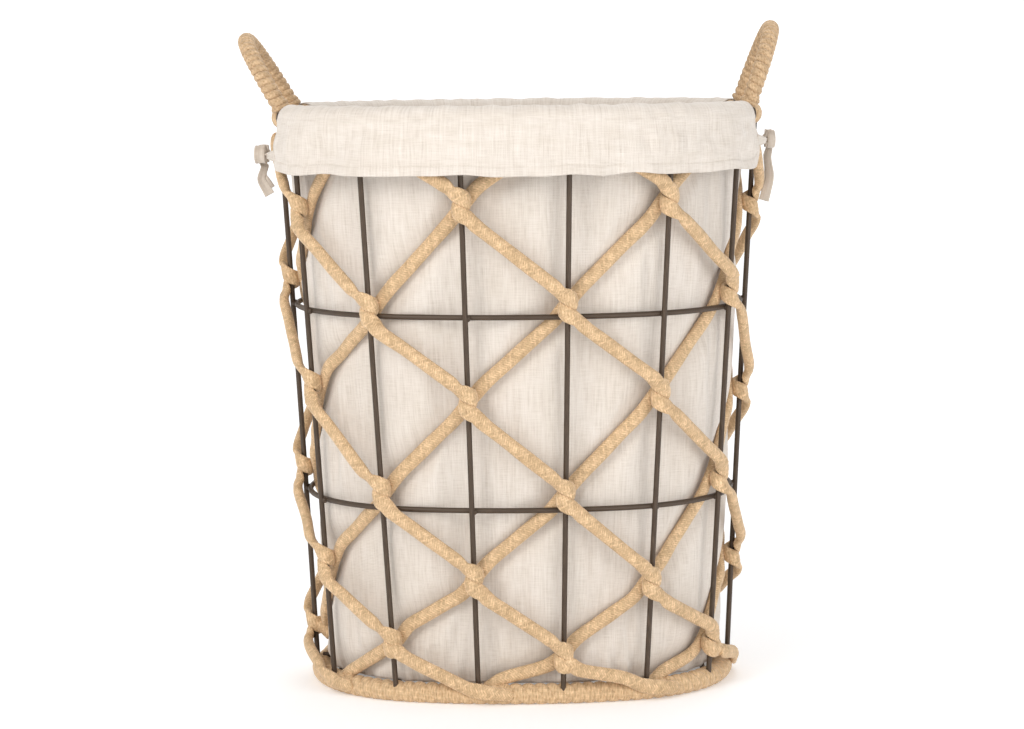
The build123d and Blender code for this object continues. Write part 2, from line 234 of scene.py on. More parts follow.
def add_node(nodes, links, kind, inputs=(), **settings):
    node = nodes.new(kind)
    for key, value in settings.items():
        setattr(node, key, value)
    for key, value in dict(inputs).items():
        if isinstance(value, bpy.types.NodeSocket):
            links.new(value, node.inputs[key])
        else:
            node.inputs[key].default_value = value
    return node


def colour_ramp(nodes, links, source, stops):
    node = add_node(nodes, links, "ShaderNodeValToRGB", {"Fac": source})
    ramp = node.color_ramp
    ramp.elements[0].position, ramp.elements[0].color = stops[0][0], (*stops[0][1], 1)
    ramp.elements[1].position, ramp.elements[1].color = stops[-1][0], (*stops[-1][1], 1)
    for position, colour in stops[1:-1]:
        ramp.elements.new(position).color = (*colour, 1)
    return node.outputs["Color"]


def cord_material(name, crevice_shade_colour, middle, crest_highlight_colour, gloss):
    """Braided jute-coloured cord with fibres along the strands; its colour has painted shade between the strands and a
    painted highlight on their backs.
    """
    material, nodes, links = new_material(name)
    shader = nodes["Principled BSDF"]
    crest = add_node(nodes, links, "ShaderNodeAttribute", attribute_name="crest").outputs["Fac"]
    strand = add_node(nodes, links, "ShaderNodeAttribute", attribute_name="strand").outputs["Fac"]
    along = add_node(nodes, links, "ShaderNodeAttribute", attribute_name="along").outputs["Vector"]
    fibre = add_node(nodes, links, "ShaderNodeTexNoise", {"Vector": along, "Scale": 900.0, "Detail": 3.0})
    blotch = add_node(nodes, links, "ShaderNodeTexNoise", {"Scale": 42.0, "Detail": 2.0})
    # painted shade in the hollows between strands and painted highlight on their crests, by the braid's height
    base = colour_ramp(nodes, links, crest, ((0.05, crevice_shade_colour), (0.42, middle), (0.95, crest_highlight_colour)))
    tint = colour_ramp(nodes, links, strand, ((0.0, (0.80, 0.76, 0.70)), (1.0, (1.14, 1.12, 1.08))))
    blotches = colour_ramp(
        nodes, links, blotch.outputs["Fac"], ((0.32, (0.90, 0.87, 0.82)), (0.68, (1.10, 1.08, 1.07)))
    )
    fibres = colour_ramp(
        nodes, links, fibre.outputs["Fac"], ((0.30, (0.84, 0.81, 0.77)), (0.70, (1.12, 1.12, 1.12)))
    )
    colour = base
    for factor in (tint, blotches, fibres):
        colour = add_node(
            nodes, links, "ShaderNodeMix",
            {0: 1.0, 6: colour, 7: factor}, data_type="RGBA", blend_type="MULTIPLY",
        ).outputs[2]
    links.new(colour, shader.inputs["Base Color"])
    bump = add_node(
        nodes, links, "ShaderNodeBump",
        {"Height": fibre.outputs["Fac"], "Strength": 0.45, "Distance": 0.0004},
    )
    links.new(bump.outputs["Normal"], shader.inputs["Normal"])
    shader.inputs["Roughness"].default_value = 0.72
    shader.inputs["Sheen Weight"].default_value = gloss
    shader.inputs["Sheen Roughness"].default_value = 0.45
    shader.inputs["Sheen Tint"].default_value = (1.0, 0.92, 0.80, 1)
    return material


def linen_material(name, warp_scale=1400.0, tone=(1.0, 1.0, 1.0)):
    """Plain-weave linen: warp and weft threads with slubs, in the cloth's own coordinates."""
    material, nodes, links = new_material(name)
    shader = nodes["Principled BSDF"]
    cloth = add_node(nodes, links, "ShaderNodeAttribute", attribute_name="cloth").outputs["Vector"]

    def streaks(x_scale, y_scale, detail):
        scaled = add_node(
            nodes, links, "ShaderNodeVectorMath",
            {0: cloth, 1: (x_scale, y_scale, 1.0)}, operation="MULTIPLY",
        )
        return add_node(
            nodes, links, "ShaderNodeTexNoise", {"Vector": scaled.outputs[0], "Scale": 1.0, "Detail": detail}
        ).outputs["Fac"]

    warp, weft = streaks(1500.0, 60.0, 2.0), streaks(70.0, 1350.0, 2.0)
    slub = streaks(520.0, 26.0, 1.0)
    cloud = add_node(nodes, links, "ShaderNodeTexNoise", {"Scale": 9.0, "Detail": 2.0}).outputs["Fac"]
    threads = add_node(
        nodes, links, "ShaderNodeMath", {0: warp, 1: weft}, operation="ADD"
    ).outputs[0]
    threads = add_node(
        nodes, links, "ShaderNodeMath", {0: threads, 1: slub}, operation="ADD"
    ).outputs[0]
    r, g, b = tone
    base = colour_ramp(
        nodes, links, add_node(
            nodes, links, "ShaderNodeMath", {0: threads, 1: 1 / 3}, operation="MULTIPLY"
        ).outputs[0],
        (
            (0.34, (0.575 * r, 0.505 * g, 0.435 * b)),
            (0.50, (0.690 * r, 0.622 * g, 0.552 * b)),
            (0.66, (0.755 * r, 0.694 * g, 0.628 * b)),
        ),
    )
    clouds = colour_ramp(nodes, links, cloud, ((0.3, (0.955, 0.945, 0.93)), (0.7, (1.03, 1.03, 1.035))))
    colour = add_node(
        nodes, links, "ShaderNodeMix", {0: 1.0, 6: base, 7: clouds}, data_type="RGBA", blend_type="MULTIPLY"
    ).outputs[2]
    links.new(colour, shader.inputs["Base Color"])

    def thread_wave(direction):
        return add_node(
            nodes, links, "ShaderNodeTexWave",
            {"Vector": cloth, "Scale": warp_scale / 6.2832, "Distortion": 1.6, "Detail": 1.0},
            wave_type="BANDS", bands_direction=direction,
        ).outputs["Fac"]

    weave = add_node(
        nodes, links, "ShaderNodeMath", {0: thread_wave("X"), 1: thread_wave("Y")}, operation="ADD"
    ).outputs[0]
    relief = add_node(nodes, links, "ShaderNodeMath", {0: weave, 1: threads}, operation="ADD").outputs[0]
    bump = add_node(
        nodes, links, "ShaderNodeBump", {"Height": relief, "Strength": 0.35, "Distance": 0.0003}
    )
    links.new(bump.outputs["Normal"], shader.inputs["Normal"])
    shader.inputs["Roughness"].default_value = 0.85
    shader.inputs["Sheen Weight"].default_value = 0.25
    shader.inputs["Sheen Roughness"].default_value = 0.5
    return material


def wire_material():
    """Dark bronze paint, rubbed a little paler in places, over drawn steel wire."""
    material, nodes, links = new_material("bronze_paint")
    shader = nodes["Principled BSDF"]
    patch = add_node(nodes, links, "ShaderNodeTexNoise", {"Scale": 38.0, "Detail": 4.0}).outputs["Fac"]
    speck = add_node(nodes, links, "ShaderNodeTexNoise", {"Scale": 650.0, "Detail": 3.0}).outputs["Fac"]
    colour = colour_ramp(
        nodes, links, patch,
        ((0.30, (0.050, 0.034, 0.022)), (0.55, (0.078, 0.054, 0.036)), (0.75, (0.120, 0.085, 0.058))),
    )
    flecks = colour_ramp(nodes, links, speck, ((0.35, (0.75, 0.72, 0.70)), (0.72, (1.35, 1.30, 1.25))))
    colour = add_node(
        nodes, links, "ShaderNodeMix", {0: 1.0, 6: colour, 7: flecks}, data_type="RGBA", blend_type="MULTIPLY"
    ).outputs[2]
    links.new(colour, shader.inputs["Base Color"])
    rough = add_node(
        nodes, links, "ShaderNodeMapRange",
        {"Value": patch, "From Min": 0.3, "From Max": 0.7, "To Min": 0.34, "To Max": 0.56},
    ).outputs["Result"]
    links.new(rough, shader.inputs["Roughness"])
    bump = add_node(nodes, links, "ShaderNodeBump", {"Height": speck, "Strength": 0.25, "Distance": 0.0003})
    links.new(bump.outputs["Normal"], shader.inputs["Normal"])
    shader.inputs["Metallic"].default_value = 0.35
    return material


bronze = wire_material()
# cord colours: painted crevice shade, the jute's own tan, painted crest highlight
jute = cord_material("jute_braid", (0.11, 0.060, 0.026), (0.48, 0.320, 0.172), (0.74, 0.560, 0.365), 0.30)
handle_jute = cord_material(
    "jute_handle_cord", (0.13, 0.070, 0.030), (0.43, 0.285, 0.155), (0.66, 0.500, 0.335), 0.30
)
linen = linen_material("linen")
ribbon_linen = linen_material("ribbon_linen", 2200.0, (0.97, 0.95, 0.92))
thread, thread_nodes, thread_links = new_material("sewing_thread")
thread_nodes["Principled BSDF"].inputs["Base Color"].default_value = (0.62, 0.55, 0.46, 1)
thread_nodes["Principled BSDF"].inputs["Roughness"].default_value = 0.7


# ---- cords ----
def braid_at(turn, along, strands, lay):
    """Height, strand tint and distance along the strand, on a 2/2 braid. Turn is 0 to 1 round the cord."""
    u = strands * turn + along * strands / lay
    v = strands * turn - along * strands / lay
    i, j = np.floor(u), np.floor(v)
    lift_u = 0.5 + 0.5 * np.cos((i + v - 1) * math.pi / 2)
    lift_v = 0.5 + 0.5 * np.cos((j + u - 3) * math.pi / 2)
    across_u, across_v = 2 * (u - i) - 1, 2 * (v - j) - 1
    height_u = np.sqrt(1 - 0.92 * across_u**2) * (0.40 + 0.60 * lift_u)
    height_v = np.sqrt(1 - 0.92 * across_v**2) * (0.40 + 0.60 * lift_v)
    over = height_u > height_v
    height = np.maximum(height_u, height_v)
    index = np.where(over, i % strands, strands + j % strands)
    tint = (np.sin(index * 12.9898) * 43758.5453) % 1.0
    run = np.where(over, along + turn * lay, along - turn * lay)
    side = np.where(over, across_u + 7 * i, across_v + 7 * j + 500)
    return height, tint, np.stack([run * 0.12, side * 0.0007, index * 0.01], -1)


def cord_mesh(line, outward, half_width, half_thick, around, strands, lay, depth, cut_end=False):
    """Points, faces and attributes of a braided cord of oval section. Outward is its thin direction."""
    count = len(line)
    forward = unit(np.gradient(line, axis=0))
    thin = unit(outward - (outward * forward).sum(1, keepdims=True) * forward)
    wide = np.cross(forward, thin)
    half_width, half_thick = (np.broadcast_to(x, count)[:, None] for x in (half_width, half_thick))
    along = np.concatenate([[0], np.cumsum(np.linalg.norm(np.diff(line, axis=0), axis=1))])[:, None]
    turn = np.arange(around)[None, :] / around
    height, tint, fibre = braid_at(turn, along, strands, lay)
    angle = 2 * math.pi * turn
    close = np.ones((count, 1))
    if not cut_end:
        ends = np.minimum(along, along[-1] - along) / (2 * half_thick)
        close = np.sqrt(1 - (1 - np.clip(ends, 0, 1)) ** 2 + 1e-4)
    swell = depth * (height - 0.72)
    points = (
        line[:, None]
        + thin[:, None] * (close * (half_thick + swell) * np.cos(angle))[..., None]
        + wide[:, None] * (close * (half_width + swell) * np.sin(angle))[..., None]
    )
    faces = grid_faces(count, around, True)
    caps = [np.arange(around)[::-1], np.arange(around) + (count - 1) * around]
    data = {"crest": height.ravel(), "strand": tint.ravel(), "along": fibre.reshape(-1, 3)}
    return points.reshape(-1, 3), faces, caps, data


def cord_piece(name, parts, material, body, slot):
    """One piece from several cord meshes."""
    points, faces, caps, data, start = [], [], [], {}, 0
    for p, f, c, d in parts:
        points.append(p)
        faces.append(f + start)
        caps += [x + start for x in c]
        for key, value in d.items():
            data.setdefault(key, []).append(value)
        start += len(p)
    data = {key: np.concatenate(value) for key, value in data.items()}
    return make_piece(name, np.concatenate(points), np.concatenate(faces), material, body, slot, caps, **data)


# ---- frame: the CAD wires in bronze paint, and a bead where each hoop is welded to each upright ----
for name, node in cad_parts.items():
    if name.startswith(("upright_", "floor_", "handle_core_")) or name.endswith(("_ring", "rim_wire")):
        node.data.materials.clear()
        node.data.materials.append(bronze)


def weld_beads():
    steps, around = 7, 10
    points, faces, caps = [], [], []
    for z in (LOWER_RING_Z, MIDDLE_RING_Z, UPPER_RING_Z):
        for index in range(UPRIGHTS):
            middle = beside_post(index, z - 0.0006, 0.0012, -RING_INSET / 2)
            outward = unit(beside_post(index, z, 0, 1.0) - beside_post(index, z))
            onward = np.cross(UP, outward)
            polar = np.linspace(0.12, math.pi - 0.12, steps)[:, None]
            turn = np.linspace(0, 2 * math.pi, around, endpoint=False)[None, :]
            lump = 1 + 0.13 * np.sin(3 * turn + index) * np.sin(2 * polar + z * 40)
            size = (0.0038, 0.0034, 0.0033)
            offsets = (
                onward * (lump * np.cos(polar) * size[0])[..., None]
                + outward * (lump * np.sin(polar) * np.cos(turn) * size[1])[..., None]
                + UP * (lump * np.sin(polar) * np.sin(turn) * size[2])[..., None]
            )
            start = len(points) * steps * around
            points.append((middle + offsets).reshape(-1, 3))
            faces.append(grid_faces(steps, around, True) + start)
            caps += [np.arange(around)[::-1] + start, np.arange(around) + start + (steps - 1) * around]
    make_piece(
        "weld_beads", np.concatenate(points), np.concatenate(faces), bronze, "basket", "frame_wire", caps
    )


weld_beads()

# ---- rope net ----
ROPE_HALF_WIDTH, ROPE_HALF_THICK = 0.0062, 0.0047
KNOT_HALF_WIDTH, KNOT_HALF_THICK = 0.0072, 0.0033
# how much higher than even each front knot was tied, in millimetres: one row a level, left to right
KNOT_RISE = ((-6, 1, 2, -8), (11, -5, -1, 3), (7, -1, 1, -9), (3, 0, -2, 2), (8, 1, -7, -3), (0, 9, -3, -3))
# the turn that an outside rope makes round an upright: across, out and up from the knot's middle
KNOT_TURN = (
    (-0.0140, 0.0068, 0.0185), (-0.0070, 0.0058, 0.0120), (0.0012, 0.0050, 0.0072),
    (0.0056, 0.0014, 0.0038), (0.0042, -0.0038, 0.0014), (0.0, -0.0054, 0.0),
    (-0.0042, -0.0038, -0.0014), (-0.0056, 0.0014, -0.0038), (-0.0012, 0.0050, -0.0072),
    (0.0070, 0.0058, -0.0120), (0.0140, 0.0068, -0.0185),
)
# how an inside rope passes behind it
KNOT_PASS = (
    (0.0130, -0.0114, 0.0150), (0.0, -0.0108, 0.0), (-0.0130, -0.0114, -0.0160),
)
LOW_EXIT = 0.6  # the lowest knots' ropes leave this much flatter


def knot_z(level, index):
    """The height of the knot at this level on this upright."""
    index %= UPRIGHTS
    even = BASE_Z + KNOT_HEIGHTS[level - 1] * (RIM_Z - BASE_Z)
    front = index <= UPRIGHTS // 2
    mirrored = index if front else UPRIGHTS - index
    rise = KNOT_RISE[level - 1][mirrored // 2] * 0.001
    return even + (rise if front else -0.7 * rise)


def near_knot(line):
    """How near each point of a line is to a knot's upright, from 0 to 1, and the direction away from it."""
    share = np.zeros(len(line))
    away = np.zeros((len(line), 3))
    heights = np.linspace(BASE_Z, RIM_Z, 25)
    for index in range(UPRIGHTS):
        axis = np.array([beside_post(index, z) for z in heights])
        here = np.stack([np.interp(line[:, 2], heights, axis[:, k]) for k in range(3)], 1)
        off = (line - here) * (1, 1, 0)
        distance = np.linalg.norm(off, axis=1)
        weight = np.clip((0.0210 - distance) / 0.0140, 0, 1)
        weight = weight * weight * (3 - 2 * weight)
        nearer = weight > share
        share[nearer] = weight[nearer]
        away[nearer] = unit(off)[nearer]
    return share, away


def outward_of(line):
    """The outline's outward direction at each point of a line."""
    normals = np.radians(normals_at(MIDDLE_RING_Z, np.linspace(0, 1, 280, endpoint=False)))
    ring = on_oval(MIDDLE_RING_Z, np.degrees(normals))
    full = through(MIDDLE_RING_Z, HALF_LENGTH), through(MIDDLE_RING_Z, HALF_DEPTH)
    found = []
    for point in line:
        a, b = through(point[2], HALF_LENGTH), through(point[2], HALF_DEPTH)
        spot = np.array((point[0] * full[0] / a, point[1] * full[1] / b))
        at = np.argmin(((ring[:, :2] - spot) ** 2).sum(1))
        found.append((math.cos(normals[at]), math.sin(normals[at]), 0.0))
    return np.array(found)


def net_rope_route(start, step):
    outside = step > 0
    points = []
    if outside:
        points.append(beside_post(start + 0.22, 0.5240, 0, 0.0020))
        points.append(beside_post(start + 0.47, 0.5065, 0, 0.0052))
    else:
        points.append(beside_post(start - 0.38, 0.5130, 0, -0.0135))
        points.append(beside_post(start - 0.58, 0.4985, 0, -0.0135))
    for level in range(1, len(KNOT_HEIGHTS) + 1):
        index = start + level * step
        z = knot_z(level, index)
        offsets = KNOT_TURN if outside else KNOT_PASS
        exit_share = LOW_EXIT if level == len(KNOT_HEIGHTS) else 1.0
        knot = []
        for across, out, up in offsets:
            leaving = step * across > 0.006 and up < 0 if outside else across < -0.006
            knot.append(beside_post(index, z + up * (exit_share if leaving else 1.0), across, out))
        if level > 1:
            points += [last_exit + (knot[0] - last_exit) * share for share in (0.33, 0.67)]
        points += knot
        last_exit = knot[-1]
    last = start + (len(KNOT_HEIGHTS) + 1) * step
    if outside:
        points += [
            beside_post(last - 0.30, 0.0240, 0, 0.0058),
            beside_post(last - 0.08, 0.0160, 0, 0.0068),
            beside_post(last + 0.16, 0.0120, 0, 0.0064),
            beside_post(last + 0.42, 0.0095, 0, 0.0040),
        ]
    else:
        points += [
            beside_post(last + 0.26, 0.0225, 0, -0.0080),
            beside_post(last + 0.14, 0.0160, 0, -0.0066),
            beside_post(last + 0.04, 0.0115, 0, -0.0056),
        ]
    return points


def net_rope(name, start, step):
    line = smooth_line(net_rope_route(start, step), 0.0009)
    share, away = near_knot(line)
    outward = outward_of(line)
    if step > 0:
        thin = unit(outward * (1 - share[:, None]) + away * share[:, None])
        width = ROPE_HALF_WIDTH + (KNOT_HALF_WIDTH - ROPE_HALF_WIDTH) * share
        thick = ROPE_HALF_THICK + (KNOT_HALF_THICK - ROPE_HALF_THICK) * share
    else:
        thin = outward
        width = ROPE_HALF_WIDTH + 0.0004 * share
        thick = ROPE_HALF_THICK - 0.0012 * share
    wobble = Soft(1.0, (4, 22), (0.5, 1.5), 12)(np.linspace(0, 1, len(line)), start)
    line = line + outward * (0.0003 * wobble * (1 - share))[:, None]
    parts = [cord_mesh(line, thin, width * (1 + 0.02 * wobble), thick, 44, 12, 0.030, 0.0010)]
    piece = cord_piece(name, parts, jute, "basket", "net_rope")
    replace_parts(piece, name)
    return line


inside_lines = []
for number in range(UPRIGHTS // 2):
    net_rope(f"net_rope_s_{number + 1}", 2 * number, 1)
    inside_lines.append(net_rope(f"net_rope_z_{number + 1}", 2 * number, -1))


def cut_rope_end():
    """The inside ropes' cut end, which sticks out of the left end's lowest knot."""
    line = smooth_line([(-0.1990, -0.001, 0.054), (-0.1930, -0.006, 0.0475), (-0.1850, -0.0095, 0.0400)], 0.0009)
    outward = np.tile((-0.3, -1.0, 0.0), (len(line), 1))
    part = cord_mesh(line, outward, 0.0052, 0.0045, 40, 12, 0.030, 0.0008, cut_end=True)
    cord_piece("cut_rope_end", [part], jute, "basket", "net_rope")


cut_rope_end()


# ---- rope bindings ----
def winding(core, across, up, radius, pitch, half_width, half_thick, around, strands, lay, depth, slant=0.0):
    """A cord wound round a line, whose across and up directions are given at each point.
    Slant moves each turn's top back along the line and its bottom forward."""
    length = np.concatenate([[0], np.cumsum(np.linalg.norm(np.diff(core, axis=0), axis=1))])
    turns = length[-1] / pitch
    per_turn = max(24, int(2 * math.pi * radius / 0.0012))
    at = np.linspace(0, length[-1], int(turns * per_turn))
    angle = -2 * math.pi * (at / pitch + 0.035 * np.sin(at / pitch * 1.7))
    place = at - slant * np.sin(angle)
    pick = [np.stack([np.interp(place, length, f[:, k]) for k in range(3)], 1) for f in (core, across, up)]
    outward = unit(pick[1] * np.cos(angle)[:, None] + pick[2] * np.sin(angle)[:, None])
    line = pick[0] + outward * radius
    return cord_mesh(line, outward, half_width, half_thick, around, strands, lay, depth)


def ring_core(z, first, last, count):
    normals = np.linspace(first, last, count)
    line = on_oval(z, normals, -RING_INSET)
    angle = np.radians(normals)
    across = np.stack([np.cos(angle), np.sin(angle), np.zeros(count)], 1)
    return line, across, np.tile(UP, (count, 1))


def base_binding():
    line, across, up = ring_core(BASE_Z, 180, 540, 720)
    part = winding(line, across, up, 0.0062, 0.0112, 0.0061, 0.0037, 24, 10, 0.024, 0.0008, 0.0036)
    part[0][:, 2] = np.maximum(part[0][:, 2], 0.0)
    piece = cord_piece("base_wrap", [part], jute, "basket", "binding_rope")
    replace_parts(piece, "base_wrap")


def rim_bindings():
    foot_turn = normal_for_y(RIM_Z, -RING_INSET, HANDLE_SPAN / 2) - 180
    gap_turn = math.degrees(HANDLE_FOOT_GAP / (oval(RIM_Z)[0][2] - RING_INSET))
    near, far = foot_turn + gap_turn, foot_turn - gap_turn
    stretches = {
        "rim_wrap_front": (180 + near, 360 - near),
        "rim_wrap_right": (360 - far, 360 + far),
        "rim_wrap_back": (360 + near, 540 - near),
        "rim_wrap_left": (540 - far, 540 + far),
    }
    for name, (first, last) in stretches.items():
        line, across, up = ring_core(RIM_Z, first, last, 300)
        part = winding(line, across, up, 0.0064, 0.0118, 0.0063, 0.0045, 18, 8, 0.026, 0.0009)
        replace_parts(cord_piece(name, [part], jute, "basket", "binding_rope"), name)


base_binding()
rim_bindings()


# ---- handles ----
def handle_frame(side):
    """The handle's foot, its span direction and its up direction at rest."""
    foot_normal = normal_for_y(RIM_Z, -RING_INSET, HANDLE_SPAN / 2)
    foot_x = abs(on_oval(RIM_Z, foot_normal, -RING_INSET)[0])
    lean = math.radians(LEAN[side])
    foot = np.array((-foot_x if side == "left" else foot_x, 0, RIM_Z))
    return foot, np.array((0.0, 1.0, 0.0)), np.array((math.sin(lean), 0.0, math.cos(lean)))


def handle_pieces(side):
    foot, span, rise = handle_frame(side)
    facing = np.cross(span, rise)
    radius = HANDLE_SPAN / 2
    shoulder = HANDLE_HEIGHT - radius
    leg = np.linspace(LASHING_START - 0.004, shoulder, 40, endpoint=False)
    bend = np.linspace(math.pi, 0, 240)
    y = np.concatenate([np.full(40, -radius), radius * np.cos(bend), np.full(40, radius)])
    z = np.concatenate([leg, shoulder + radius * np.sin(bend), leg[::-1]])
    core = foot + y[:, None] * span + z[:, None] * rise
    across = np.tile(facing, (len(core), 1))
    up = np.cross(unit(np.gradient(core, axis=0)), across)
    body = f"handle_{side}"
    part = winding(core, across, up, 0.0052, 0.0066, 0.0037, 0.0027, 18, 6, 0.0125, 0.0009)
    piece = cord_piece(f"handle_wrap_{side}", [part], handle_jute, body, "handle_cord")
    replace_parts(piece, f"handle_wrap_{side}")
    lashings = []
    for end in (slice(0, 20), slice(-20, None)):
        low = core[end]
        lashings.append(
            winding(low, across[end], up[end], 0.0072, 0.0042, 0.0022, 0.0019, 14, 4, 0.010, 0.0006)
        )
    piece = cord_piece(f"handle_lashing_{side}", lashings, handle_jute, body, "handle_cord")
    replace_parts(piece, f"handle_lashing_{side}")


for side in LEAN:
    handle_pieces(side)


# ---- liner ----
GIRTH = float(np.linalg.norm(np.diff(on_oval(0.3, np.linspace(180, 540, 721), -0.014), axis=0), axis=1).sum())
CLOTH_T = 0.0012
LINER_FOOT_Z, SPINE_LIFT = 0.0172, 0.0049  # the bag's lowest edge, and its rise over the floor spine
# creases: share of the way round, height, half length, lean (share a metre) and depth
CREASES = [(0.150, 0.435, 0.035, 0.10, 0.0022), (0.170, 0.300, 0.060, -0.06, 0.0020)]
CREASES += [(0.205, 0.150, 0.050, 0.04, 0.0026), (0.255, 0.220, 0.045, -0.10, 0.0018)]
CREASES += [(0.330, 0.440, 0.050, -0.05, 0.0020), (0.375, 0.160, 0.050, 0.10, 0.0024)]
CREASES += [(0.420, 0.330, 0.060, 0.05, 0.0022), (0.085, 0.240, 0.050, 0.08, 0.0026)]
for place in chance.uniform(0, 1, (34, 5)):
    CREASES.append((place[0], 0.06 + 0.4 * place[1], 0.02 + 0.05 * place[2], 0.3 * place[3] - 0.15, 0.002 * place[4]))
folds = Soft(1.0, (5, 17), (0.5, 1.6), 34)
creases = Soft(1.0, (22, 60), (0.10, 0.5), 40)
puckers = Soft(1.0, (30, 70), (0.05, 0.2), 40)


def cloth_piece(name, points, rows, columns, closed, material, slot, cloth, thickness=CLOTH_T):
    piece = make_piece(
        name, points.reshape(-1, 3), grid_faces(rows, columns, closed), material, "basket", slot,
        cloth=cloth.reshape(-1, 3),
    )
    solid = piece.modifiers.new("thickness", "SOLIDIFY")
    solid.thickness, solid.offset = thickness, 0.0
    return piece


def liner_wall():
    columns, rows = 480, 190
    share = np.arange(columns) / columns
    heights = np.linspace(LINER_TOP_Z, LINER_FOOT_Z, rows)
    dents = np.concatenate([line[::6] for line in inside_lines])
    points = np.zeros((rows, columns, 3))
    for row, z in enumerate(heights):
        normals = normals_at(z, share)
        inset = np.full(columns, 0.0118)
        top = np.clip((z - 0.495) / (LINER_TOP_Z - 0.495), 0, 1)
        inset += top * (RING_INSET + FOLD_R - 0.0118)
        loose = (1 - top) * np.clip((z - 0.02) / 0.05, 0.25, 1)
        inset += 0.0034 * loose * folds(share, z) + 0.0008 * loose * creases(share, z)
        for crease_share, crease_z, length, lean, depth in CREASES:
            beside = (share - crease_share - lean * (z - crease_z)) * GIRTH / 0.0048
            ends = math.exp(-(((z - crease_z) / length) ** 2))
            inset += depth * ends * (np.exp(-(beside**2)) - 0.55 * np.exp(-((beside - 1.9) ** 2)))
        low = np.clip((0.034 - z) / 0.014, 0, 1)
        inset += 0.0036 * low**2 + 0.0013 * np.clip((0.090 - z) / 0.06, 0, 1) * puckers(share, z)
        for ring_z in (LOWER_RING_Z, MIDDLE_RING_Z, UPPER_RING_Z):
            inset = np.maximum(inset, 0.0086 - 0.5 * abs(z - ring_z))
        where = on_oval(z, normals, -0.0118)
        close = dents[np.abs(dents[:, 2] - z) < 0.040]
        if len(close):
            gap = np.sqrt(((where[:, None] - close[None]) ** 2 * (1, 1, 1)).sum(2)).min(1)
            press = np.exp(-((gap / 0.0150) ** 2))
            inset = np.maximum(inset, 0.0090 + 0.0090 * press) * (1 - press) + 0.0180 * press
        inset = np.maximum(inset, 0.0045 + 0.0092 * low)
        angle = np.radians(normals)
        points[row] = on_oval(z, normals)
        points[row, :, 0] -= inset * np.cos(angle)
        points[row, :, 1] -= inset * np.sin(angle)
        points[row, :, 2] += low * SPINE_LIFT * np.exp(-((points[row, :, 1] / 0.02) ** 2))
    cloth = np.stack(
        [
            np.tile(share * GIRTH, (rows, 1)),
            np.tile(heights[:, None], (1, columns)),
            np.zeros((rows, columns)),
        ],
        -1,
    )
    piece = cloth_piece("liner_wall", points, rows, columns, True, linen, "linen", cloth)
    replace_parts(piece, "liner_wall")
    return points[-1]


def liner_bottom(edge):
    rings, columns = 60, len(edge)
    share = np.arange(columns) / columns
    centre = edge.mean(0)
    points = np.zeros((rings, columns, 3))
    waves = Soft(1.0, (3, 9), (0.3, 1.0), 20)
    for ring in range(rings):
        t = 1 - ring / rings
        points[ring] = centre + (edge - centre) * t
        over_spine = SPINE_LIFT * np.exp(-((points[ring, :, 1] / 0.02) ** 2))
        points[ring, :, 2] = LINER_FOOT_Z + over_spine + 0.0010 * waves(share, t) * t * (1 - t) * 3 + 0.0006
    cloth = points.copy()
    cloth[..., 2] = 0
    piece = cloth_piece("liner_bottom", points, rings, columns, True, linen, "linen", cloth)
    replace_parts(piece, "liner_bottom")


liner_bottom(liner_wall())


FLAP_REACH = 0.0035  # how much nearer to the handles the outer flap reaches than the fold


def cuff_edges():
    turn = normal_for_y(RIM_Z, -RING_INSET, HANDLE_SPAN / 2 + CUFF_FOOT_GAP) - 180
    return {"liner_cuff_front": (180 + turn, 360 - turn), "liner_cuff_back": (360 + turn, 540 - turn)}


